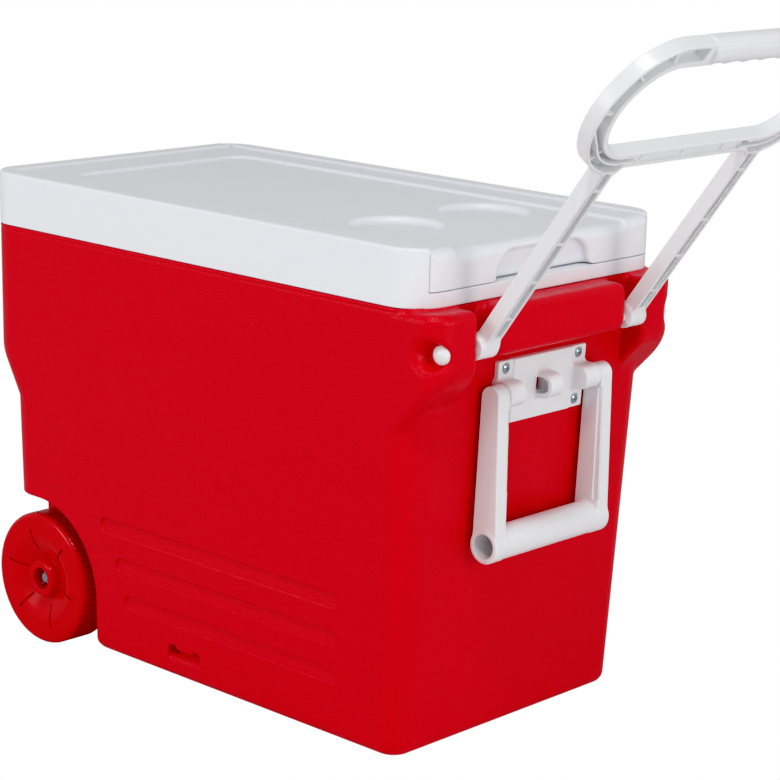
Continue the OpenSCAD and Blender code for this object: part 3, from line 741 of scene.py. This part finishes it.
def area(name, at, aim, size, power, colour=(1, 1, 1)):
    data = bpy.data.lights.new(name, "AREA")
    data.shape = "RECTANGLE"
    data.size, data.size_y = size
    data.energy = power
    data.color = colour
    o = bpy.data.objects.new(name, data)
    bpy.context.scene.collection.objects.link(o)
    z = np.array(at, float) - np.array(aim, float)
    z /= np.linalg.norm(z)
    x = np.cross((0, 0, 1), z)
    x /= np.linalg.norm(x)
    y = np.cross(z, x)
    m = Matrix.Identity(4)
    for i in range(3):
        m[i][0], m[i][1], m[i][2] = x[i], y[i], z[i]
    m.translation = at
    o.matrix_world = m
    return o


area("key", (-1.1, -2.6, 1.2), (0, 0, 0.25), (0.9, 0.9), 15)
area("end", (2.9, 0.1, 0.9), (0, 0, 0.3), (0.8, 0.8), 15)
area("top", (0.75, -0.9, 2.4), (0.1, 0, 0.3), (0.35, 0.35), 13)

floor_mesh = bpy.data.meshes.new("floor")
floor_mesh.from_pydata([(-8, -8, 0), (8, -8, 0), (8, 8, 0), (-8, 8, 0)], [], [(0, 1, 2, 3)])
floor = bpy.data.objects.new("floor", floor_mesh)
bpy.context.scene.collection.objects.link(floor)
paper = bpy.data.materials.new("paper")
paper.use_nodes = True
pt = paper.node_tree
pb = pt.nodes["Principled BSDF"]
pb.inputs["Base Color"].default_value = (0.95, 0.95, 0.95, 1)
pb.inputs["Roughness"].default_value = 0.9
glow = pt.nodes.new("ShaderNodeEmission")
seen = pt.nodes.new("ShaderNodeLightPath")
either = pt.nodes.new("ShaderNodeMixShader")
dim = pt.nodes.new("ShaderNodeMix")
dim.data_type = "RGBA"
dim.inputs["A"].default_value = (0.95, 0.95, 0.95, 1)
dim.inputs["B"].default_value = (0.45, 0.45, 0.45, 1)
pt.links.new(seen.outputs["Is Glossy Ray"], dim.inputs["Factor"])
pt.links.new(dim.outputs["Result"], pb.inputs["Base Color"])
pt.links.new(seen.outputs["Is Camera Ray"], either.inputs[0])
pt.links.new(pb.outputs[0], either.inputs[1])
pt.links.new(glow.outputs[0], either.inputs[2])
pt.links.new(either.outputs[0], pt.nodes["Material Output"].inputs["Surface"])
floor_mesh.materials.append(paper)

world = bpy.data.worlds.new("world")
bpy.context.scene.world = world
world.use_nodes = True
wt = world.node_tree
sky = wt.nodes["Background"]
sky.inputs["Color"].default_value = (1, 1, 1, 1)
ray = wt.nodes.new("ShaderNodeLightPath")
way = wt.nodes.new("ShaderNodeTexCoord")
split = wt.nodes.new("ShaderNodeSeparateXYZ")
fade = wt.nodes.new("ShaderNodeMapRange")
fade.inputs["From Min"].default_value = 0.1
fade.inputs["From Max"].default_value = 1.0
fade.inputs["To Min"].default_value = 0.90
fade.inputs["To Max"].default_value = 0.22
pick = wt.nodes.new("ShaderNodeMix")
pick.inputs["B"].default_value = 1.0
wt.links.new(way.outputs["Generated"], split.inputs[0])
wt.links.new(split.outputs["Z"], fade.inputs["Value"])
wt.links.new(ray.outputs["Is Camera Ray"], pick.inputs["Factor"])
soft = wt.nodes.new("ShaderNodeMix")
soft.inputs["B"].default_value = 0.5
wt.links.new(ray.outputs["Is Glossy Ray"], soft.inputs["Factor"])
wt.links.new(fade.outputs["Result"], soft.inputs["A"])
wt.links.new(soft.outputs["Result"], pick.inputs["A"])
wt.links.new(pick.outputs["Result"], sky.inputs["Strength"])

scene = bpy.context.scene
scene.view_settings.view_transform = "Standard"
scene.view_settings.look = "None"
scene.view_settings.use_curve_mapping = True
curve = scene.view_settings.curve_mapping
for at in ((0.03, 0.006), (0.12, 0.11)):
    curve.curves[3].points.new(*at)
curve.update()
scene.cycles.use_denoising = True
scene.cycles.max_bounces = 6
